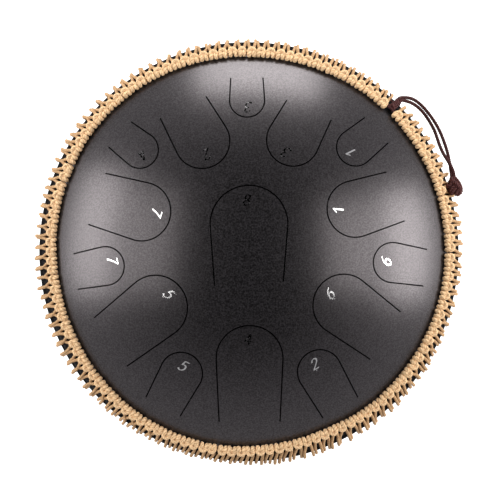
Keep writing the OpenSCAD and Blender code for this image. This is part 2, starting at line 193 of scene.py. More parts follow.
class DrumSizes(bpy.types.PropertyGroup):
    rope_d: FloatProperty(
        name="Rope", description="Diameter of the tan rope", default=2.65 * MM,
        min=1.5 * MM, max=3 * MM, unit="LENGTH",
    )
    arm_wide: FloatProperty(
        name="Knot arm width", description="Width of a knot's arm where it lies over the draw cord",
        default=3.4 * MM, unit="LENGTH",
    )
    arm_high: FloatProperty(
        name="Knot arm height", description="Height of that arm", default=2.6 * MM, unit="LENGTH",
    )
    rope_lay: FloatProperty(
        name="Rope lay", description="Length in which the rope's strands go once round",
        default=6.3 * MM, unit="LENGTH",
    )
    ridge: FloatProperty(
        name="Strand ridge", description="Share of a rope's radius by which its strands stand out",
        default=0.06, min=0, max=0.3, subtype="FACTOR",
    )
    knots: IntProperty(
        name="Knots", description="Number of knots in the upper row", default=130, min=60, max=160,
    )
    cord_d: FloatProperty(
        name="Draw cord", description="Diameter of the brown cord", default=2 * MM,
        unit="LENGTH",
    )
    tail_d: FloatProperty(
        name="Tail", description="Diameter of the draw cord's tails, which hang slack and swell",
        default=2.6 * MM, unit="LENGTH",
    )
    cord_lay: FloatProperty(
        name="Cord lay", description="Length in which the cord's strands go once round",
        default=5.2 * MM, unit="LENGTH",
    )
    numeral_h: FloatProperty(
        name="Numeral height", description="Height of the etched numerals", default=8.4 * MM,
        unit="LENGTH",
    )
    numeral_rise: FloatProperty(
        name="Numeral rise", description="Height of the bare metal over the coating around it",
        default=0.05 * MM, unit="LENGTH",
    )


class DrumColours(bpy.types.PropertyGroup):
    steel: FloatVectorProperty(
        name="Steel", description="Powder coat of both shells", subtype="COLOR",
        default=(0.0082, 0.0076, 0.0082), min=0, max=1,
    )
    bare_steel: FloatVectorProperty(
        name="Bare steel", description="Etched numerals", subtype="COLOR",
        default=(0.80, 0.79, 0.78), min=0, max=1,
    )
    rope: FloatVectorProperty(
        name="Rope", description="Tan paper rope", subtype="COLOR",
        default=(0.80, 0.545, 0.31), min=0, max=1,
    )
    cord: FloatVectorProperty(
        name="Cord", description="Brown draw cord", subtype="COLOR",
        default=(0.06, 0.0215, 0.0205), min=0, max=1,
    )
    rubber: FloatVectorProperty(
        name="Rubber", description="Feet", subtype="COLOR", default=(0.012, 0.012, 0.0125),
        min=0, max=1,
    )
    zinc: FloatVectorProperty(
        name="Zinc", description="Screws, washers and nuts", subtype="COLOR",
        default=(0.62, 0.63, 0.65), min=0, max=1,
    )
    floor: FloatVectorProperty(
        name="Floor", description="Studio floor", subtype="COLOR", default=(0.85, 0.85, 0.85),
        min=0, max=1,
    )


# Outline of the steel

def surface_offset(points):
    """Distance of each point off the outer steel, and the steel's outward direction there."""
    flat = np.hypot(points[:, 0], points[:, 1])
    rise = points[:, 2] - RIM_Z
    up = np.abs(rise)
    domed = np.arctan2(flat, up + DOME_DROP) < BLEND
    from_r = np.where(domed, flat, flat - RIM_C)
    from_z = np.where(domed, up + DOME_DROP, up)
    away = np.hypot(from_r, from_z)
    out = away - np.where(domed, DOME_R, ROUND_R)
    around = points[:, :2] / np.maximum(flat, 1e-9)[:, None]
    lean = from_r / np.maximum(away, 1e-9)
    side = np.where(rise < 0, -1, 1) * from_z / np.maximum(away, 1e-9)
    return out, np.column_stack([around * lean[:, None], side])


def over_steel(bearing, along, off):
    """Points off the steel at a bearing, so far along the steel above the rim plane."""
    far = np.abs(along)
    turn = far / ROUND_R
    lean = BLEND - (far - RIM_ARC) / DOME_R
    on_rim = far < RIM_ARC
    flat = np.where(
        on_rim, RIM_C + (ROUND_R + off) * np.cos(turn), (DOME_R + off) * np.sin(lean)
    )
    up = np.where(
        on_rim, (ROUND_R + off) * np.sin(turn), (DOME_R + off) * np.cos(lean) - DOME_DROP
    )
    height = RIM_Z + np.where(along < 0, -up, up)
    return np.column_stack([flat * np.cos(bearing), flat * np.sin(bearing), height])


def on_dome(x, y, off):
    """Point at a height off the upper dome, over a place across and up."""
    down = Vector((0, 0, RIM_Z - DOME_DROP))
    flat = x * x + y * y
    at = Vector((x, y, RIM_Z - DOME_DROP + math.sqrt(DOME_R**2 - flat)))
    return at + (at - down).normalized() * off


def wander(values, bearing, first_at=0.0):
    """Smooth value round the drum from values at even bearings, the first at a bearing in
    degrees."""
    place = ((bearing - math.radians(first_at)) / math.tau % 1) * len(values)
    first = int(place)
    share = place - first
    share = share * share * (3 - 2 * share)
    return values[first % len(values)] * (1 - share) + values[(first + 1) % len(values)] * share


# Meshes

def new_piece(name, mesh, material, body=ROOT_BODY, stands_for=()):
    """Object of the scene that rides on a body and takes the place of CAD nodes."""
    piece = bpy.data.objects.new(name, mesh)
    bpy.context.scene.collection.objects.link(piece)
    mesh.materials.clear()
    mesh.materials.append(material)
    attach(piece, body)
    if stands_for:
        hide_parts(*stands_for)
    return piece


def smooth_line(points, step):
    """Points at even steps along a smooth line through placed points. Columns after the third
    are carried along."""
    placed = np.array(points, float)
    ends = np.vstack([2 * placed[0] - placed[1], placed, 2 * placed[-1] - placed[-2]])
    points_a_span = 12
    share = np.linspace(0, 1, points_a_span, endpoint=False)[:, None]
    fine = []
    for i in range(len(placed) - 1):
        a, b, c, d = ends[i:i + 4]
        fine.append(
            0.5 * (2 * b + (c - a) * share + (2 * a - 5 * b + 4 * c - d) * share**2
                   + (3 * b - a - 3 * c + d) * share**3)
        )
    fine = np.vstack([*fine, placed[-1:]])
    run = np.append(0, np.cumsum(np.linalg.norm(np.diff(fine[:, :3], axis=0), axis=1)))
    stops = np.linspace(0, run[-1], max(3, round(run[-1] / step) + 1))
    return np.column_stack([np.interp(stops, run, column) for column in fine.T])


class Strands:
    """Gathers twisted strands of one lay into one mesh."""

    def __init__(self, sides, lay):
        self.sides = sides
        self.lay = lay
        self.points = []
        self.quads = []
        self.caps = []
        self.uvs = []
        self.count = 0

    def add_cord(self, line, width, ridge, closed=False):
        """Round strand along a line."""
        self.add(line, (0, 0, 1), width, width, ridge, closed)

    def add(self, line, side, wide, high, ridge, closed=False, start=0.0):
        """Strand along a line, with its width and height across at each point."""
        rings = len(line)
        wide = np.broadcast_to(np.asarray(wide, float), (rings,))
        high = np.broadcast_to(np.asarray(high, float), (rings,))
        if closed:
            tangents = np.roll(line, -1, axis=0) - np.roll(line, 1, axis=0)
        else:
            tangents = np.gradient(line, axis=0)
        tangents /= np.linalg.norm(tangents, axis=1)[:, None]
        across = np.empty_like(line)
        hint = np.array(side, float)
        for i, tangent in enumerate(tangents):
            hint = hint - hint.dot(tangent) * tangent
            hint /= np.linalg.norm(hint)
            across[i] = hint
        up = np.cross(tangents, across)
        steps = np.linalg.norm(np.diff(line, axis=0), axis=1)
        run = start + np.append(0, np.cumsum(steps))
        turn = np.arange(self.sides) * math.tau / self.sides
        twist = math.tau * run / self.lay
        lobes = 1 + ridge * np.cos(PLIES * (turn[None, :] - twist[:, None]))
        ring = (
            (wide / 2)[:, None, None] * np.cos(turn)[None, :, None] * across[:, None, :]
            + (high / 2)[:, None, None] * np.sin(turn)[None, :, None] * up[:, None, :]
        )
        grid = line[:, None, :] + lobes[:, :, None] * ring
        self.points.append(grid.reshape(-1, 3))
        spans = rings if closed else rings - 1
        i, k = np.meshgrid(np.arange(spans), np.arange(self.sides), indexing="ij")
        i, k = i.ravel(), k.ravel()
        j, m = (i + 1) % rings, (k + 1) % self.sides
        corners = ((i, k), (i, m), (j, m), (j, k))
        self.quads.append(np.column_stack([self.count + a * self.sides + b for a, b in corners]))
        last = np.append(run, run[-1] + steps.mean())
        u = np.column_stack([last[i], last[i], last[i + 1], last[i + 1]]) / UV_RUN
        v = np.column_stack([k, k + 1, k + 1, k]) / self.sides
        self.uvs.append(np.stack([u, v], axis=-1).reshape(-1, 2))
        first = self.count
        self.count += rings * self.sides
        if not closed:
            self.cap(line[0] - tangents[0] * high[0] / 4, first, True)
            self.cap(line[-1] + tangents[-1] * high[-1] / 4, first + spans * self.sides, False)

    def cap(self, tip, first, flip):
        """Blunt end over the ring that starts at a point's number."""
        self.points.append(np.array([tip]))
        for k in range(self.sides):
            a, b = first + k, first + (k + 1) % self.sides
            self.caps.append((self.count, b, a) if flip else (self.count, a, b))
        self.count += 1

    def mesh(self, name):
        """All the strands, with a UV map that runs along them and once round them."""
        mesh = bpy.data.meshes.new(name)
        points = np.vstack(self.points)
        quads = np.vstack(self.quads)
        mesh.from_pydata(points.tolist(), [], quads.tolist() + self.caps)
        uvs = np.vstack([*self.uvs, np.zeros((3 * len(self.caps), 2))])
        mesh.uv_layers.new(name="along").data.foreach_set("uv", uvs.ravel().astype(np.float32))
        mesh.polygons.foreach_set("use_smooth", [True] * len(mesh.polygons))
        mesh.update()
        return mesh


def steel_copy(node, name):
    """Copy of a steel node's mesh."""
    mesh = frame["nodes"][node].data.copy()
    mesh.name = name
    return mesh


def shade_as_steel(mesh):
    """Shades a mesh as the true dome and rim, and its slit walls as smooth curves."""
    points = np.empty(len(mesh.vertices) * 3)
    mesh.vertices.foreach_get("co", points)
    out, outward = surface_offset(points.reshape(-1, 3))
    outer = np.abs(out) < ON_SURFACE
    inner = np.abs(out + SHEET) < ON_SURFACE
    wall_faces = {}
    kinds = []
    for face in mesh.polygons:
        corners = list(face.vertices)
        facing = Vector(outward[corners].mean(0)).dot(face.normal)
        if outer[corners].all() and facing > SURFACE_LIKENESS:
            kinds.append(1)
        elif inner[corners].all() and facing < -SURFACE_LIKENESS:
            kinds.append(-1)
        else:
            kinds.append(0)
            for corner in corners:
                wall_faces.setdefault(corner, []).append(face)
    normals = []
    for face, kind in zip(mesh.polygons, kinds):
        for corner in face.vertices:
            if kind:
                normals.append(tuple(kind * outward[corner]))
                continue
            total = Vector()
            for other in wall_faces[corner]:
                if other.normal.dot(face.normal) > WALL_LIKENESS:
                    total += other.normal * other.area
            normals.append(tuple(total.normalized() if total.length > 0 else face.normal))
    mesh.polygons.foreach_set("use_smooth", [True] * len(mesh.polygons))
    mesh.normals_split_custom_set(normals)
    mesh.update()


# Materials

class Nodes:
    """Node tree under construction, with short ways to add and join nodes."""

    def __init__(self, tree):
        self.tree = tree

    def give(self, socket, value):
        """Joins a source to a socket, or sets a plain value on it."""
        if isinstance(value, bpy.types.NodeSocket):
            self.tree.links.new(value, socket)
        else:
            socket.default_value = value

    def set(self, node, **values):
        """Gives each value to the node's socket of that name, or else to the node itself."""
        for key, value in values.items():
            name = key.replace("_", " ")
            if name in node.inputs:
                self.give(node.inputs[name], value)
            else:
                setattr(node, key, value)

    def node(self, kind, *values, **settings):
        """New node, with its settings by name and values for its sockets in order."""
        made = self.tree.nodes.new(kind)
        self.set(made, **settings)
        for socket, value in zip(made.inputs, values):
            self.give(socket, value)
        return made

    def place(self):
        return self.node("ShaderNodeTexCoord").outputs["Object"]

    def from_axis(self):
        """Distance of a place from the drum's upright axis."""
        flat = self.node("ShaderNodeVectorMath", self.place(), (1, 1, 0), operation="MULTIPLY")
        far = self.node("ShaderNodeVectorMath", flat.outputs["Vector"], operation="LENGTH")
        return far.outputs["Value"]

    def along(self):
        """Place along a strand and round it."""
        return self.node("ShaderNodeUVMap", uv_map="along").outputs["UV"]

    def noise(self, where, scale, detail, roughness=0.5):
        made = self.node(
            "ShaderNodeTexNoise", Vector=where, Scale=scale, Detail=detail, Roughness=roughness
        )
        return made.outputs["Fac"]

    def fibres(self, along, turn, stretch, scale, detail, roughness):
        """Noise drawn out along a strand."""
        drawn = self.node(
            "ShaderNodeMapping", Vector=along, Rotation=(0, 0, turn), Scale=(*stretch, 1)
        )
        return self.noise(drawn.outputs["Vector"], scale, detail, roughness)

    def strand_height(self, along, lay):
        """From 0 in the creases between a rope's strands to 1 on their ridges."""
        split = self.node("ShaderNodeSeparateXYZ", along)
        turns = self.math("MULTIPLY", split.outputs["X"], UV_RUN / lay)
        phase = self.math("SUBTRACT", split.outputs["Y"], turns)
        ridge = self.math("COSINE", self.math("MULTIPLY", phase, PLIES * math.tau))
        return self.math("MULTIPLY_ADD", ridge, 0.5, 0.5)

    def math(self, operation, *values):
        return self.node("ShaderNodeMath", *values, operation=operation).outputs["Value"]

    def span(self, source, low, high, start=0.0, end=1.0, kind="LINEAR"):
        """Value from low to high while the source goes from start to end."""
        made = self.node(
            "ShaderNodeMapRange", interpolation_type=kind, Value=source,
            From_Min=start, From_Max=end, To_Min=low, To_Max=high,
        )
        return made.outputs["Result"]

    def ramp(self, source, *stops):
        """Colours between stops, each a value of the source and the colour there."""
        made = self.node("ShaderNodeValToRGB", source)
        elements = made.color_ramp.elements
        while len(elements) < len(stops):
            elements.new(0.5)
        for element, (at, colour) in zip(elements, stops):
            element.position = at
            element.color = (*colour, 1.0)
        return made.outputs["Color"]

    def tones(self, source, colour, *stops):
        """Ramp of one colour, with a factor on it at each stop."""
        return self.ramp(source, *((at, shade(colour, factor)) for at, factor in stops))

    def blend(self, kind, share, first, second):
        made = self.node(
            "ShaderNodeMix", data_type="RGBA", blend_type=kind, Factor=share, A=first, B=second
        )
        return made.outputs["Result"]

    def bump(self, height, strength, distance, under=None):
        made = self.node("ShaderNodeBump", Height=height, Strength=strength, Distance=distance)
        if under is not None:
            self.give(made.inputs["Normal"], under)
        return made.outputs["Normal"]

    def choose(self, share, first, second):
        """The second of two shaders where the share is 1, the first where it is 0."""
        return self.node("ShaderNodeMixShader", share, first, second).outputs["Shader"]


class Finish(Nodes):
    """Material under construction."""

    def __init__(self, name):
        self.material = bpy.data.materials.new(name)
        self.material.use_nodes = True
        super().__init__(self.material.node_tree)
        self.shader = self.tree.nodes["Principled BSDF"]

    def dress(self, **values):
        """Gives the shader its sources and plain values, and hands over the material."""
        self.set(self.shader, **values)
        return self.material


def shade(colour, factor):
    return tuple(min(1.0, channel * factor) for channel in colour)


def powder_coat(name, colour):
    """Satin charcoal powder coat with its fine orange-peel grain, and painted shade beside the rope,
    where its gloss is turned down."""
    finish = Finish(name)
    where = finish.place()
    speckle = finish.noise(where, 780, detail=4, roughness=0.75)
    patches = finish.noise(where, 160, detail=4)
    # Painted shade: the gloss fades to almost nothing just inside the rope's inner edge
    beyond_rope_shade = finish.span(
        finish.from_axis(), 1.0, 0.05, start=ROW_R - 5 * MM, end=ROW_R - 2.5 * MM,
        kind="SMOOTHSTEP",
    )
    gloss = finish.span(speckle, 0.5, 0.74, start=0.35, end=0.65)
    # Gloss that stays where an export leaves the speckled gloss out
    finish.set(finish.shader, Specular_IOR_Level=0.62)
    grain = finish.bump(speckle, 0.5, 0.05 * MM)
    return finish.dress(
        Base_Color=finish.tones(speckle, colour, (0.42, 0.02), (0.6, 2.5)),
        Roughness=finish.span(patches, 0.27, 0.31),
        IOR=1.5,
        Specular_IOR_Level=finish.math("MULTIPLY", gloss, beyond_rope_shade),
        Specular_Tint=(1.0, 0.91, 0.93, 1.0),
        Normal=finish.bump(finish.noise(where, 900, detail=1), 0.25, 0.05 * MM, grain),
    )


def rim_band(name, colour):
    """Matt and rougher coat on the rounded rim under the rope, with its gloss turned almost off as
    painted shade from the rope.
    """
    finish = Finish(name)
    grain = finish.noise(finish.place(), 700, detail=3, roughness=0.7)
    return finish.dress(
        Base_Color=finish.tones(grain, colour, (0.3, 0.5), (0.7, 1.1)),
        Roughness=finish.span(grain, 0.82, 0.95),
        # Painted shade: the rim hardly reflects where the rope shades it
        Specular_IOR_Level=0.04,
        Normal=finish.bump(grain, 0.5, 0.1 * MM),
    )


def painted_weld(name, colour):
    """Powder coat over the weld's even ripples."""
    finish = Finish(name)
    where = finish.place()
    bearing = finish.node("ShaderNodeTexGradient", where, gradient_type="RADIAL").outputs["Fac"]
    ripples_round = 460
    ripples = finish.math("SINE", finish.math("MULTIPLY", bearing, ripples_round * math.tau))
    grain = finish.noise(where, 900, detail=2)
    return finish.dress(
        Base_Color=finish.tones(grain, colour, (0.3, 0.8), (0.7, 1.6)),
        Roughness=0.45,
        Normal=finish.bump(grain, 0.3, 0.05 * MM, finish.bump(ripples, 0.6, 0.2 * MM)),
    )


def etched_metal(name, colour):
    """Bare bright steel with the fine marks of the etching."""
    finish = Finish(name)
    where = finish.place()
    cloud = finish.noise(where, 300, detail=2)
    return finish.dress(
        Base_Color=finish.tones(cloud, colour, (0.3, 0.9), (0.7, 1)),
        Metallic=1.0,
        Roughness=finish.span(cloud, 0.12, 0.22),
        Normal=finish.bump(finish.noise(where, 1800, detail=2), 0.12, 0.03 * MM),
    )


def metal_in_painted_shade(name, colour):
    """Etched steel darkened as painted shade, with a few bright spots of bare metal."""
    finish = Finish(name)
    spots = finish.noise(finish.place(), 620, detail=3, roughness=0.6)
    painted_black = (0.002, 0.002, 0.002)
    return finish.dress(
        Base_Color=finish.ramp(
            spots, (0.52, painted_black), (0.6, shade(colour, 0.1)), (0.67, shade(colour, 0.8))
        ),
        Metallic=1.0,
        Roughness=finish.span(spots, 0.5, 0.15),
        Specular_IOR_Level=0.2,
        Normal=finish.bump(spots, 0.5, 0.08 * MM),
    )


def paper_rope(name, colour):
    """Twisted paper rope: fibres along its lay, and painted shade in the creases between its strands,
    which leaves its ridges pale."""
    finish = Finish(name)
    along = finish.along()
    fibres = finish.fibres(along, 0.5, (2.2, 9), 4, detail=4, roughness=0.65)
    cloud = finish.noise(finish.place(), 260, detail=3)
    tone = finish.blend(
        "MIX", 0.45,
        finish.tones(fibres, colour, (0.28, 0.62), (0.5, 1), (0.72, 1.28)),
        finish.tones(cloud, colour, (0.3, 0.72), (0.65, 1.16)),
    )
    # Painted shade in the creases between the strands
    creases = finish.ramp(
        finish.strand_height(along, sizes().rope_lay),
        (0.0, (0.68, 0.6, 0.52)), (0.2, (0.93, 0.91, 0.88)), (0.5, (1, 1, 1)),
    )
    return finish.dress(
        Base_Color=finish.blend("MULTIPLY", 1.0, tone, creases),
        Roughness=0.75,
        Specular_IOR_Level=0.25,
        Normal=finish.bump(fibres, 0.6, 0.3 * MM),
    )


def waxed_cord(name, colour, hollows, ridges):
    """Brown waxed cord with threads along its strands, and painted shade in the creases between them.
    """
    finish = Finish(name)
    along = finish.along()
    threads = finish.fibres(along, 0.6, (3, 14), 5, detail=3, roughness=0.6)
    # Painted shade in the creases between the strands
    creases = finish.ramp(
        finish.strand_height(along, sizes().cord_lay), (0.0, (0.03, 0.02, 0.02)), (0.6, (1, 1, 1))
    )
    tone = finish.tones(threads, colour, (0.32, hollows), (0.68, ridges))
    return finish.dress(
        Base_Color=finish.blend("MULTIPLY", 1.0, tone, creases),
        Roughness=finish.span(threads, 0.6, 0.8),
        Specular_IOR_Level=0.1,
        Normal=finish.bump(threads, 0.5, 0.15 * MM),
    )


def moulded_rubber(name, colour):
    """Matt moulded rubber with a fine leathery grain and dust in its hollows."""
    finish = Finish(name)
    where = finish.place()
    cells = finish.node("ShaderNodeTexVoronoi", feature="SMOOTH_F1", Vector=where, Scale=900)
    dust = finish.noise(where, 120, detail=5)
    return finish.dress(
        Base_Color=finish.tones(dust, colour, (0.4, 1), (0.8, 2.6)),
        Roughness=finish.span(dust, 0.62, 0.82),
        Normal=finish.bump(cells.outputs["Distance"], 0.35, 0.12 * MM),
    )


def zinc_plate(name, colour):
    """Bright zinc with faint cloudy patches and fine turning marks."""
    finish = Finish(name)
    where = finish.place()
    cloud = finish.noise(where, 350, detail=4)
    return finish.dress(
        Base_Color=finish.tones(cloud, colour, (0.35, 0.8), (0.7, 1.1)),
        Metallic=1.0,
        Roughness=finish.span(cloud, 0.24, 0.4),
        Normal=finish.bump(finish.noise(where, 2200, detail=2), 0.15, 0.03 * MM),
    )


def colours():
    return bpy.context.scene.drum_colours


def sizes():
    return bpy.context.scene.drum_sizes


def shared(name, make, colour, *options):
    """Material of that name, made on its first use."""
    return bpy.data.materials.get(name) or make(name, tuple(colour), *options)


def coat():
    return shared("charcoal_powder_coat", powder_coat, colours().steel)


def rope_finish():
    return shared("tan_paper_rope", paper_rope, colours().rope)


def legs_finish():
    """The rope darkened as painted shade on the outside of the rim."""
    darkened = [channel * kept for channel, kept in zip(colours().rope, LEG_SHADE)]
    return shared("handled_paper_rope", paper_rope, darkened)


def cord_finish():
    return shared("brown_waxed_cord", waxed_cord, colours().cord, 0.25, 2.1)


def knotted_finish():
    """Cord in a knot, whose thread tones reach darker as painted shade and lighter as painted
    highlights.
    """
    return shared("brown_knotted_cord", waxed_cord, colours().cord, 0.08, 3.1)


# Studio

class DRUM_OT_stage(bpy.types.Operator):
    """Camera straight above, low soft lamps on three sides, and a white floor"""

    bl_idname = "drum.stage"
    bl_label = "Set up studio"

    # Camera over the rim's plane: height, width of its frame there, place and turn
    camera_height = 1.8
    frame_width = 0.424
    camera_place = (0.9 * MM, 1.5 * MM)
    camera_turn = math.radians(-0.7)
    # Brightness of the room at its walls and at its ceiling
    walls = 0.7
    ceiling = 0.03
    floor_half = 4.0
    floor_drop = 0.2 * MM
    lamps_away = 1.5
    # Lamps: name, bearing and height over the floor in degrees, width, height, power
    lamps = [
        ("right_softbox", 2, 20, 0.97, 0.53, 17),
        ("right_high_softbox", 3, 45, 0.95, 0.64, 7.5),
        ("left_softbox", 172, 21, 1.15, 0.53, 16),
        ("left_high_softbox", 173, 46, 1.1, 0.64, 7),
        ("top_softbox", 86, 10, 1.05, 0.5, 18),
    ]

    def execute(self, context):
        self.add_camera(context.scene)
        aim = Vector((0, 0, RIM_Z + SHELL_H / 2))
        for name, bearing, lift, width, height, power in self.lamps:
            self.add_lamp(context.scene, aim, name, bearing, lift, width, height, power)
        self.add_world(context.scene)
        self.add_floor(context.scene)
        context.scene.view_settings.view_transform = "Standard"
        return {"FINISHED"}

    def add_camera(self, scene):
        data = bpy.data.cameras.new("camera")
        data.sensor_width = 36
        data.lens = data.sensor_width * self.camera_height / self.frame_width
        camera = bpy.data.objects.new("camera", data)
        camera.location = (*self.camera_place, RIM_Z + self.camera_height)
        camera.rotation_euler = (0, 0, self.camera_turn)
        scene.collection.objects.link(camera)
        scene.camera = camera

    def add_lamp(self, scene, aim, name, bearing, lift, width, height, power):
        """Soft lamp that faces the drum and that the camera doesn't see."""
        data = bpy.data.lights.new(name, "AREA")
        data.shape = "RECTANGLE"
        data.size = width
        data.size_y = height
        data.energy = power
        lamp = bpy.data.objects.new(name, data)
        lamp.visible_camera = False
        turn, tilt = math.radians(bearing), math.radians(lift)
        away = Vector(
            (math.cos(turn) * math.cos(tilt), math.sin(turn) * math.cos(tilt), math.sin(tilt))
        )
        lamp.location = aim + self.lamps_away * away
        lamp.rotation_euler = away.to_track_quat("Z", "Y").to_euler()
        scene.collection.objects.link(lamp)

    def add_world(self, scene):
        """Dim room, paler at its walls than at its ceiling, with a plain pale backdrop."""
        world = bpy.data.worlds.new("studio")
        world.use_nodes = True
        nodes = Nodes(world.node_tree)
        ways = nodes.node("ShaderNodeTexCoord").outputs["Generated"]
        upward = nodes.node("ShaderNodeSeparateXYZ", ways).outputs["Z"]
        room = nodes.tree.nodes["Background"]
        nodes.set(
            room, Color=(0.97, 0.96, 1.0, 1),
            Strength=nodes.span(upward, self.walls, self.ceiling, start=0.35, end=0.85),
        )
        backdrop = nodes.node("ShaderNodeBackground", Strength=1.0)
        by_camera = nodes.node("ShaderNodeLightPath").outputs["Is Camera Ray"]
        surface = nodes.choose(
            by_camera, room.outputs["Background"], backdrop.outputs["Background"]
        )
        nodes.give(nodes.tree.nodes["World Output"].inputs["Surface"], surface)
        scene.world = world

    def add_floor(self, scene):
        half = self.floor_half
        mesh = bpy.data.meshes.new("floor")
        corners = [(-half, -half, 0), (half, -half, 0), (half, half, 0), (-half, half, 0)]
        mesh.from_pydata(corners, [], [(0, 1, 2, 3)])
        mesh.materials.append(self.floor_finish())
        floor = bpy.data.objects.new("floor", mesh)
        floor.location = (0, 0, -self.floor_drop)
        scene.collection.objects.link(floor)

    def floor_finish(self):
        """Matt floor that the camera and shiny steel see as white outside the drum, with a painted
        shadow under it.
        """
        finish = Finish("pale_floor")
        away = finish.from_axis()
        # Share of the rim's radius, for the painted shadow: black under the sound port, dim under the
        # drum, pale outside
        share = finish.math("DIVIDE", away, RIM_R)
        finish.dress(
            Base_Color=finish.tones(
                share, colours().floor, (0.28, 0.01), (0.45, 0.25), (0.6, 0.25), (0.78, 1)
            ),
            Roughness=0.9,
            Specular_IOR_Level=0.0,
        )
        glow = finish.node(
            "ShaderNodeEmission",
            Strength=finish.span(away, 0.0, 0.8, start=0.55 * RIM_R, end=RIM_R, kind="SMOOTHSTEP"),
        )
        matt = finish.shader.outputs["BSDF"]
        white = finish.node("ShaderNodeAddShader", matt, glow.outputs["Emission"])
        rays = finish.node("ShaderNodeLightPath").outputs
        mirrored = finish.math("MAXIMUM", rays["Is Glossy Ray"], rays["Is Transmission Ray"])
        seen = finish.math("MAXIMUM", rays["Is Camera Ray"], mirrored)
        surface = finish.choose(seen, matt, white.outputs["Shader"])
        finish.give(finish.tree.nodes["Material Output"].inputs["Surface"], surface)
        return finish.material


# Brown cords

def at_opening(line):
    """Points off the steel for a line to the right of the opening's middle, up and off."""
    return over_steel(GAP_BEARING - line[:, 0] / ROW_R, line[:, 1], line[:, 2])


class DRUM_OT_tails(bpy.types.Operator):
    """Both tails of the draw cord and the knot that joins their ends"""

    bl_idname = "drum.tails"
    bl_label = "Make tails and end knot"

    # Strands of the end knot, in mm outwards, up and the way the tails run: the last stretch
    # of each tail, the lobe at the knot's inner side, and the core under its wraps
    tail_ends = [
        [(-2.0, 0.2, -0.2), (-1.5, 2.0, 2.0), (-0.2, 3.8, 4.5), (1.2, 3.9, 7.5), (2.1, 2.6, 10.5),
         (1.5, 0.8, 13.4), (-0.3, -0.4, 15.0)],
        [(0.9, 0.2, -0.2), (2.0, 1.6, 2.2), (3.1, 1.2, 5.5), (3.7, 0.0, 9.0), (3.4, -1.0, 12.4),
         (1.6, -1.0, 15.0)],
    ]
    lobe = [(-4.6, 1.2, 8.6), (-3.4, 0.8, 11.8), (-1.2, -0.2, 14.8), (1.4, -0.8, 14.8)]
    core = [(-2.4, -0.6, 1.6), (-1.4, -0.8, 8.0), (0.2, -0.8, 13.6)]
    # From the knot's start to its middle, in mm
    knot_half = 7.75
    wrap_turns = 1.8
    wrap_steps_a_turn = 20

    def execute(self, context):
        end_knot = self.add_end_knot()
        for name, route in (("outer_cord_tail", OUTER_ROUTE), ("inner_cord_tail", INNER_ROUTE)):
            self.add_tail(name, route, end_knot)
        return {"FINISHED"}

    def add_tail(self, name, route, end_knot):
        """Free cord along its route."""
        width = sizes().tail_d
        line = smooth_line(route, CORD_STEP)
        strands = Strands(18, sizes().cord_lay)
        strands.add_cord(line, TAIL_SWELL * width, ridge=0.14)
        tail = new_piece(
            name, strands.mesh(name), cord_finish(),
            stands_for=[name.replace("_cord_tail", "_tail")],
        )

    def add_end_knot(self):
        """Overhand knot: both tails run down its outer side, and two wraps go round a core."""
        low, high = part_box("end_knot")
        middle = np.array((low + high) / 2)
        bearing = math.atan2(middle[1], middle[0])
        out = np.array((math.cos(bearing), math.sin(bearing), 0))
        onward = np.array((math.sin(bearing), -math.cos(bearing), 0))
        up = np.array((0, 0, 1))
        cord_d = sizes().cord_d
        tail_width = TAIL_SWELL * sizes().tail_d / cord_d
        strands = Strands(14, sizes().cord_lay)
        for width, points in (
            *((tail_width, points) for points in self.tail_ends),
            *((1.25, self.wrap(start, further)) for start, further in ((0.0, 0.0), (0.5, 0.5))),
            (1.4, self.lobe),
            (2.8, self.core),
        ):
            placed = [
                middle + MM * (x * out + y * up + (z - self.knot_half) * onward)
                for x, y, z in points
            ]
            strands.add_cord(smooth_line(placed, CORD_STEP), width * cord_d, ridge=0.3)
        return new_piece(
            "tail_end_knot", strands.mesh("tail_end_knot"), knotted_finish(),
            stands_for=["end_knot"],
        )

    def wrap(self, start, further):
        """Slanted turns round the knot's body, wider than high and lifted at the inner side."""
        points = []
        steps = self.wrap_turns * self.wrap_steps_a_turn
        for step in range(int(steps) + 1):
            share = step / steps
            turn = math.tau * (self.wrap_turns * share + start)
            body = 3.9 + 1.0 * math.sin(math.pi * share)
            across = -2.5 + 1.6 * share + body * math.cos(turn)
            points.append((
                across,
                -0.6 + 0.75 * body * math.sin(turn) + 0.3 * max(0.0, -2.0 - across),
                2.6 + 9.6 * share + further - 1.9 * math.cos(turn),
            ))
        return points


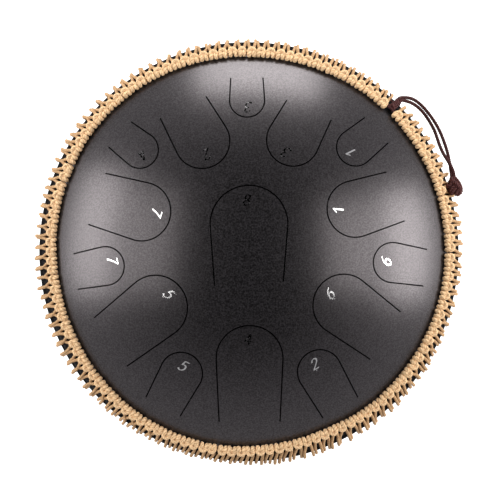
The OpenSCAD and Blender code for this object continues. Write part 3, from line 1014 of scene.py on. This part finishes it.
class DRUM_OT_draw_cords(bpy.types.Operator):
    """Draw cord inside each row of knots, pulled to the tie knot in the opening"""

    bl_idname = "drum.draw_cords"
    bl_label = "Make draw cords"

    rings = 900
    # How the tie knot pulls the upper cord: over what angle in radians, how far outwards and
    # how far down
    pull_reach = 0.022
    pull_out = 2.2 * MM
    pull_down = 0.9 * MM
    # End of the lower cord, which comes up over the rim to the tie knot, and the upper cord's
    # own ends, in mm: right of the opening's middle, up the steel and off it
    ends = [
        [(0.8, 8.5, 3.0), (1.4, 4.0, 2.2), (1.8, 0.5, 1.4), (2.6, -6.0, 1.4), (4.4, -13.0, 1.5),
         (8.0, -19.5, 2.2)],
        [(-1.2, 16.5, 2.6), (-3.4, 18.5, 3.0), (-6.0, 20.2, 3.6)],
        [(1.2, 16.5, 2.4), (2.6, 19.0, 2.4), (5.4, 20.4, 3.4)],
    ]

    def execute(self, context):
        bearing = GAP_BEARING + np.arange(self.rings) * math.tau / self.rings
        off_gap = (bearing - GAP_BEARING + math.pi) % math.tau - math.pi
        for name, node, side in (
            ("upper_cord_ring", "upper_draw_cord", 1),
            ("lower_cord_ring", "lower_draw_cord", -1),
        ):
            pull = np.exp(-((off_gap / self.pull_reach) ** 2)) * (side > 0)
            along = ROW_S + np.array([knot_shift(b, side) for b in bearing])
            along = along - pull * self.pull_out
            strands = Strands(12, sizes().cord_lay)
            self.lay(
                strands, over_steel(bearing, side * along, ROW_N - pull * self.pull_down), True
            )
            if side < 0:
                for points in self.ends:
                    self.lay(strands, at_opening(smooth_line(np.array(points) * MM, CORD_STEP)))
            new_piece(name, strands.mesh(name), cord_finish(), stands_for=[node])
        return {"FINISHED"}

    def lay(self, strands, line, closed=False):
        strands.add_cord(line, sizes().cord_d, ridge=0.1, closed=closed)


class DRUM_OT_tie_knot(bpy.types.Operator):
    """Sliding tie knot in the rope edge's opening, plaited from the draw cord's own ends"""

    bl_idname = "drum.tie_knot"
    bl_label = "Make tie knot"

    # Plait: its two ends up the steel, and its strands' turns, swing, dip and height off it
    high_s = 17.6 * MM
    low_s = 4.9 * MM
    turns = 1.75
    swing = 1.75 * MM
    dip = 0.95 * MM
    height = 2.9 * MM
    # Cut end beside the plait, in mm
    cut_end = [(-1.5, 12.5, 3.2), (-3.4, 12.3, 2.8), (-5.3, 11.2, 2.6), (-9.0, 5.8, 2.8)]
    cut_end_d = 1.2 * MM

    def execute(self, context):
        strands = Strands(12, sizes().cord_lay)
        length = self.high_s - self.low_s
        share = np.arange(61) / 60
        fade = np.minimum(1.0, 6 * np.minimum(share, 1 - share) + 0.35)
        for strand in range(3):
            turn = math.tau * (self.turns * share + strand / 3)
            line = np.column_stack([
                fade * self.swing * np.cos(turn),
                self.high_s - length * share,
                self.height + fade * self.dip * np.sin(2 * turn),
            ])
            self.lay(strands, line, 1.08 * sizes().cord_d)
        for from_top in (0.6 * MM, length - 0.7 * MM):
            self.wrap(strands, self.high_s - from_top)
        self.lay(strands, smooth_line(np.array(self.cut_end) * MM, CORD_STEP), self.cut_end_d)
        new_piece(
            "plaited_tie_knot", strands.mesh("plaited_tie_knot"), knotted_finish(),
            stands_for=["tie_knot"],
        )
        return {"FINISHED"}

    def lay(self, strands, line, width, closed=False):
        strands.add_cord(at_opening(line), width, ridge=0.2, closed=closed)

    def wrap(self, strands, along):
        """One turn of cord that holds an end of the plait."""
        turn = np.arange(24) * math.tau / 24
        line = np.column_stack([
            1.6 * MM * np.cos(turn),
            along + 0.5 * MM * np.cos(turn),
            2.8 * MM + 1.3 * MM * np.sin(turn),
        ])
        self.lay(strands, line, 0.9 * sizes().cord_d, closed=True)


# Rope edge

def knot_shift(bearing, side):
    """How far the knots are set inwards at a bearing, less in the lower row."""
    return MM * wander(ROW_WANDER, bearing, 7.5) * (1.0 if side > 0 else 0.4)


def leg_across(inward):
    """How far each leg of a knot runs from the knot's middle, in mm, so far in from the cord."""
    return 1.1 + 0.22 * (-5.0 - inward)


class RopeEdge:
    """Places of all knots and tips, the same each time."""

    def __init__(self, knots):
        self.knots = knots
        self.step = (math.tau - 2 * GAP_HALF) / knots
        self.start = GAP_BEARING + GAP_HALF
        self.rng = np.random.default_rng(11)
        self.leans = np.convolve(self.rng.normal(0, 1.6, knots + 5), [0.3, 0.4, 0.3], "valid")
        self.tips = [self.tip(i) for i in range(knots + 1)]
        self.jitter = self.rng.normal(0, 1, (2, knots + 1, 6))

    def knot_bearing(self, i):
        return self.start + (i + 0.5) * self.step

    def tip_bearing(self, i):
        return self.start + i * self.step

    def tip(self, i):
        """Lean, half spread, height off the rim, rope height and crossing of a tip's legs."""
        bearing = self.tip_bearing(i)
        crossed = self.rng.random() < wander(CROSSED, bearing)
        spread = wander(TIP_SPREAD, bearing) * self.rng.uniform(0.85, 1.25)
        if crossed:
            spread *= 1.5 if self.rng.random() < 0.5 else 0.6
        reach = max(1.3, wander(TIP_REACH, bearing, 7.5) * self.rng.uniform(0.7, 1.08))
        high = min(2.5, max(1.5, 0.85 * reach))
        lean = float(np.clip(self.leans[i] + wander(TIP_LEAN, bearing), -4.0, 4.0))
        if i in (0, self.knots):
            lean, crossed = (1.6 if i == 0 else -1.6), False
        return {
            "lean": lean, "spread": spread, "off": max(0.8, reach - high / 2), "high": high,
            "crossed": crossed,
        }


class DRUM_OT_rope_edge(bpy.types.Operator):
    """Two rows of rope knots on their draw cords, and the rope legs laced over the rim"""

    bl_idname = "drum.rope_edge"
    bl_label = "Make rope edge"

    def execute(self, context):
        edge = RopeEdge(sizes().knots)
        upper, lower, legs = (Strands(sides, sizes().rope_lay) for sides in (15, 12, 12))
        for i in range(edge.knots):
            self.add_knot(upper, edge.knot_bearing(i), 1, edge.jitter[0][i])
        for i in range(1, edge.knots):
            self.add_knot(lower, edge.tip_bearing(i), -1, edge.jitter[1][i])
        for i in range(edge.knots + 1):
            self.add_tip(legs, edge, i)
        for name, strands, node, finish in (
            ("upper_knots", upper, "upper_knot_row", rope_finish()),
            ("lower_knots", lower, "lower_knot_row", rope_finish()),
            ("laced_legs", legs, "rim_lacing", legs_finish()),
        ):
            new_piece(name, strands.mesh(name), finish, stands_for=[node])
        return {"FINISHED"}

    def lay(self, strands, bearing, line, side, start):
        """Rope along a line of across, up the steel, off it, width and height, each in mm."""
        placed = over_steel(
            bearing + line[:, 0] * MM / ROW_R, side * line[:, 1] * MM, line[:, 2] * MM
        )
        turned = (-math.sin(bearing), math.cos(bearing), 0)
        wide, high = line[:, 3] * MM, line[:, 4] * MM
        strands.add(placed, turned, wide, high, sizes().ridge, start=start)

    def add_knot(self, strands, bearing, side, jitter):
        """Cow hitch: both legs pass under the bar and over the draw cord, turn at the inner edge,
        and come back under the cord to form the bar across themselves."""
        rope = sizes().rope_d / MM
        leg = 0.92 * rope
        wide, high = sizes().arm_wide / MM, sizes().arm_high / MM
        cord = (ROW_S + knot_shift(bearing, side)) / MM
        sway = 0.2 * jitter
        # Across, inwards from the cord, off the steel, width, height
        half = [
            (leg_across(-8.4), -8.4, 1.3, leg, leg),
            (leg_across(-6.7), -6.7, 1.3, leg, leg),
            (leg_across(-5.0), -5.0, 1.3, leg, leg),
            (0.98, -3.3, 1.7, leg, leg),
            (0.9, -2.4, 2.9, leg, leg),
            (0.84, -1.6, 3.5, rope, rope),
            (0.84, -0.8, 3.9, 0.78 * wide, high),
            (0.96, -0.1, 4.4, 0.86 * wide, high),
            (1.28, 0.6, 4.7, 0.96 * wide, high),
            (1.7, 1.4, 4.4, 1.08 * wide, high),
            (1.96, 2.05, 3.6, 1.14 * wide, high),
            (2.0, 2.3, 2.5, 0.95 * wide, high),
            (2.35, 1.5, 1.35, rope, rope),
            (2.95, 0.8, 1.5, rope, rope),
            (3.25, 0.4, 2.8, 0.9 * rope, 0.9 * rope),
            (3.2, 0.2, 4.0, 0.92 * rope, 0.95 * rope),
            (2.7, -0.8, 5.5, 0.9 * rope, rope),
            (1.5, -1.8, 6.5, 0.9 * rope, rope),
            (0.0, -2.2, 6.9, 0.92 * rope, rope),
        ]
        points = []
        # The second half is drawn from the bar back to its leg, and shares the bar's middle
        for sign, rows, lean, reach, swell in (
            (-1, half, sway[0], sway[2], sway[3]),
            (1, half[-2::-1], sway[1], sway[3], sway[2]),
        ):
            for across, inward, off, wide_here, high_here in rows:
                # The legs stay where the lacing meets them, and the knot's own part wanders
                knot_part = min(1.0, max(0.0, (inward + 7.0) / 4))
                tilt = 0.06 * jitter[4] * (inward + 1.0)
                points.append((
                    sign * across + (lean + 0.5 * sway[4] + tilt) * knot_part,
                    cord + inward + 0.9 * reach * knot_part,
                    off, wide_here * (1 + 0.25 * swell), high_here,
                ))
        line = smooth_line(points, KNOT_STEP)
        self.lay(strands, bearing, line, side, start=(jitter[5] + 3) * 4 * MM)

    def add_tip(self, strands, edge, i):
        """The two legs that meet over the rim between two knots of the upper row."""
        tip = edge.tips[i]
        rope = 0.95 * sizes().rope_d / MM
        bearing = edge.tip_bearing(i)
        half = edge.step / 2 * ROW_R / MM
        top, bottom = ((ROW_S + knot_shift(bearing, side)) / MM for side in (1, -1))
        meet = max(5.0, top - 15.0)
        lean, off, flat = tip["lean"], tip["off"], tip["high"]
        first_or_last = i in (0, edge.knots)
        over_first = i % 3 != 0
        for number, sign in enumerate((-1, 1)):
            if (i == 0 and sign < 0) or (i == edge.knots and sign > 0):
                continue
            end = sign * (-tip["spread"] if tip["crossed"] else tip["spread"])
            low_side = 1 if end > 0 else -1
            if first_or_last:
                low_side = 0.6 * sign
            over = 1.7 if (number == 0) == over_first else 0.0
            start = sign * (half - leg_across(-9.5))
            # Across, up the steel, off the steel, width, height
            points = [
                (sign * (half - leg_across(-6.0)), top - 6.0, 1.35, rope, rope),
                (sign * (half - leg_across(-8.0)), top - 8.0, 1.35, rope, rope),
                (start + 0.1 * lean, top - 9.5, 1.4 + 0.1 * over, rope, rope),
                (0.38 * start + 0.62 * end + 0.42 * lean,
                 0.5 * (top - 9.5 + meet), 1.45 + 0.4 * over, rope, rope),
                (0.1 * start + 0.9 * end + 0.72 * lean, meet, 0.5 * (1.35 + off) + 0.7 * over,
                 rope, 0.5 * (rope + flat)),
                (0.05 * start + 0.95 * end + 0.92 * lean, 0.4 * meet, off + 0.7 * over,
                 rope, flat),
                (end + lean, -0.4, off + 0.5 * over, rope, flat),
                (end + 0.9 * lean, -3.6, 0.5 * (1.35 + off), rope, 0.5 * (rope + flat)),
                (0.5 * end + low_side * 1.1 + 0.5 * lean, -0.45 * bottom, 1.35, rope, rope),
                (low_side * leg_across(-9.0) + 0.1 * lean, -(bottom - 9.0), 1.35, rope, rope),
                (low_side * leg_across(-6.0), -(bottom - 6.0), 1.35, rope, rope),
            ]
            if first_or_last:
                # The rope's own two ends go round the lower draw cord
                points += [
                    (low_side * across, -(bottom + inward), height, rope, rope)
                    for across, inward, height in (
                        (1.3, -2.7, 2.9), (1.4, -0.9, 5.7), (1.6, 2.5, 5.5), (1.8, 3.4, 3.9),
                        (2.2, 0.6, 1.4), (2.4, -3.0, 1.4),
                    )
                ]
            line = smooth_line(points, LEG_STEP)
            self.lay(strands, bearing, line, 1, start=(i * 3.7 + number * 2.3) * MM)


# Steel

class DRUM_OT_shells(bpy.types.Operator):
    """Both shells and the fifteen tongues with the true curve of the pressed steel"""

    bl_idname = "drum.shells"
    bl_label = "Dress steel shells"

    def execute(self, context):
        for node in ("top_shell", "bottom_shell"):
            name = node.replace("shell", "dome")
            mesh = steel_copy(node, name)
            shade_as_steel(mesh)
            new_piece(name, mesh, coat(), stands_for=[node])
            self.coat_rim(mesh)
        for joint in frame["joints"]:
            self.add_tongue(joint)
        weld = frame["nodes"]["rim_weld"].data
        weld.materials.clear()
        weld.materials.append(shared("coated_weld", painted_weld, colours().steel))
        return {"FINISHED"}

    def coat_rim(self, mesh):
        """Gives the rounded rim, which lies under the rope, its matt coat with painted shade."""
        mesh.materials.append(shared("matt_rim_coat", rim_band, colours().steel))
        edge = RIM_C + ROUND_R * math.sin(BLEND) - ON_SURFACE
        for face in mesh.polygons:
            if all(math.hypot(*mesh.vertices[i].co.xy) > edge for i in face.vertices):
                face.material_index = 1

    def add_tongue(self, joint):
        """Copy of a tongue that closes the hair of a gap at its root."""
        node = joint["child"]
        name = node.replace("_tongue", "_plate")
        mesh = steel_copy(node, name)
        anchor = Vector(joint["pos_m"])
        out = Vector(joint["axis"]).cross(Vector((0, 0, 1))).normalized()
        middle = sum((v.co for v in mesh.vertices), Vector()) / len(mesh.vertices)
        if (middle - anchor).dot(out) > 0:
            out = -out
        for vertex in mesh.vertices:
            if (vertex.co - anchor).dot(out) > -ON_SURFACE:
                vertex.co += out * ROOT_GAP
        shade_as_steel(mesh)
        new_piece(name, mesh, coat(), body=node, stands_for=[node])


class DRUM_OT_numerals(bpy.types.Operator):
    """Etched numeral of bare steel on each tongue, drawn with a broad pen"""

    bl_idname = "drum.numerals"
    bl_label = "Etch numerals"

    # Pen, where a numeral is 1 high: its broad edge, half its thickness, how far it laps over
    # each step of a stroke, and the step
    pen = Vector((0.086, 0.03))
    pen_least = 0.035
    pen_lap = 0.012
    pen_step = 0.035
    slant = 0.22
    # How far a numeral reaches into the steel under it
    rooted = 0.1 * MM

    def execute(self, context):
        for tongue, signs, x, y, top, bright in NUMERALS:
            name = tongue.replace("_tongue", "_numeral")
            mesh = self.numeral_mesh(name, signs, x * MM, y * MM, math.radians(top))
            if bright:
                finish = shared("etched_steel", etched_metal, colours().bare_steel)
            # Painted shade on the numerals that are not bright
            else:
                finish = shared("smoked_steel", metal_in_painted_shade, colours().bare_steel)
            new_piece(name, mesh, finish, body=tongue)
        return {"FINISHED"}

    def stroke_quads(self, stroke):
        """Quads that a broad pen covers on its way along a stroke."""
        line = smooth_line([(x, y, 0) for x, y in stroke], self.pen_step)[:, :2]
        quads = []
        for a, b in zip(line[:-1], line[1:]):
            a, b = Vector(a), Vector(b)
            ahead = (b - a).normalized()
            side = Vector((-ahead.y, ahead.x)) * self.pen_least
            if side.dot(self.pen) < 0:
                side = -side
            reach = self.pen / 2 + side
            a, b = a - ahead * self.pen_lap, b + ahead * self.pen_lap
            quads.append([a - reach, b - reach, b + reach, a + reach])
        return quads

    def drawn(self, signs):
        """Points and triangles of the area that the pen covers, before the slant."""
        corners, faces = [], []
        for sign in signs:
            for stroke in STROKES[sign]:
                for quad in self.stroke_quads(stroke):
                    area = sum(a.cross(b) for a, b in zip(quad, quad[1:] + quad[:1]))
                    if area < 0:
                        quad.reverse()
                    faces.append(list(range(len(corners), len(corners) + 4)))
                    corners += quad
        points, _, triangles, _, _, covers = delaunay_2d_cdt(corners, [], faces, 1, 1e-5)
        return points, [tuple(t) for t, cover in zip(triangles, covers) if cover]

    def numeral_mesh(self, name, signs, x, y, top):
        """Closed mesh that stands a hair over the dome, with its middle at a place."""
        points, triangles = self.drawn(signs)
        up = Vector((math.cos(top), math.sin(top)))
        right = Vector((up.y, -up.x))
        slanted = [Vector((p.x + self.slant * p.y, p.y)) for p in points]
        low = Vector([min(p[axis] for p in slanted) for axis in (0, 1)])
        high = Vector([max(p[axis] for p in slanted) for axis in (0, 1)])
        flat = []
        for p in slanted:
            p = (p - (low + high) / 2) * sizes().numeral_h
            flat.append(Vector((x, y)) + p.x * right + p.y * up)
        verts = [on_dome(p.x, p.y, sizes().numeral_rise) for p in flat]
        verts += [on_dome(p.x, p.y, -self.rooted) for p in flat]
        count = len(flat)
        border = {(a, b) for t in triangles for a, b in zip(t, t[1:] + t[:1])}
        walls = [(a, a + count, b + count, b) for a, b in border if (b, a) not in border]
        below = [tuple(i + count for i in reversed(t)) for t in triangles]
        mesh = bpy.data.meshes.new(name)
        mesh.from_pydata(verts, [], triangles + walls + below)
        mesh.update()
        if mesh.polygons[0].normal.z < 0:
            mesh.flip_normals()
        return mesh


# Feet

class DRUM_OT_feet(bpy.types.Operator):
    """Rubber feet and their zinc screws, washers and nuts"""

    bl_idname = "drum.feet"
    bl_label = "Finish feet"

    def execute(self, context):
        rubber = shared("black_rubber", moulded_rubber, colours().rubber)
        zinc = shared("zinc_plate", zinc_plate, colours().zinc)
        for node in ("front_foot", "right_foot", "left_foot"):
            self.paint(node, rubber)
        for node in ("foot_screws", "foot_washers", "foot_nuts"):
            self.paint(node, zinc)
        return {"FINISHED"}

    def paint(self, node, finish):
        mesh = frame["nodes"][node].data
        mesh.materials.clear()
        mesh.materials.append(finish)


class DRUM_PT_panel(bpy.types.Panel):
    """Lists the steps that dress the drum"""

    bl_idname = "DRUM_PT_panel"
    bl_label = "Steel Tongue Drum"
    bl_space_type = "VIEW_3D"
    bl_region_type = "UI"
    bl_category = "Tongue Drum"

    def draw(self, context):
        layout = self.layout
        for step in STEPS:
            layout.operator(step.bl_idname)
        for group in (context.scene.drum_sizes, context.scene.drum_colours):
            box = layout.box()
            for prop in group.bl_rna.properties:
                if prop.identifier not in {"name", "rna_type"}:
                    box.prop(group, prop.identifier)


STEPS = (
    DRUM_OT_stage, DRUM_OT_tails, DRUM_OT_draw_cords, DRUM_OT_tie_knot, DRUM_OT_rope_edge,
    DRUM_OT_shells, DRUM_OT_numerals, DRUM_OT_feet,
)
CLASSES = (DrumSizes, DrumColours, *STEPS, DRUM_PT_panel)


def register():
    for cls in CLASSES:
        bpy.utils.register_class(cls)
    bpy.types.Scene.drum_sizes = PointerProperty(type=DrumSizes)
    bpy.types.Scene.drum_colours = PointerProperty(type=DrumColours)


def unregister():
    del bpy.types.Scene.drum_colours
    del bpy.types.Scene.drum_sizes
    for cls in reversed(CLASSES):
        bpy.utils.unregister_class(cls)


def main():
    register()
    bpy.ops.drum.stage()
    bpy.ops.drum.tails()
    bpy.ops.drum.draw_cords()
    bpy.ops.drum.tie_knot()
    bpy.ops.drum.rope_edge()
    bpy.ops.drum.shells()
    bpy.ops.drum.numerals()
    bpy.ops.drum.feet()


if __name__ == "__main__":
    main()
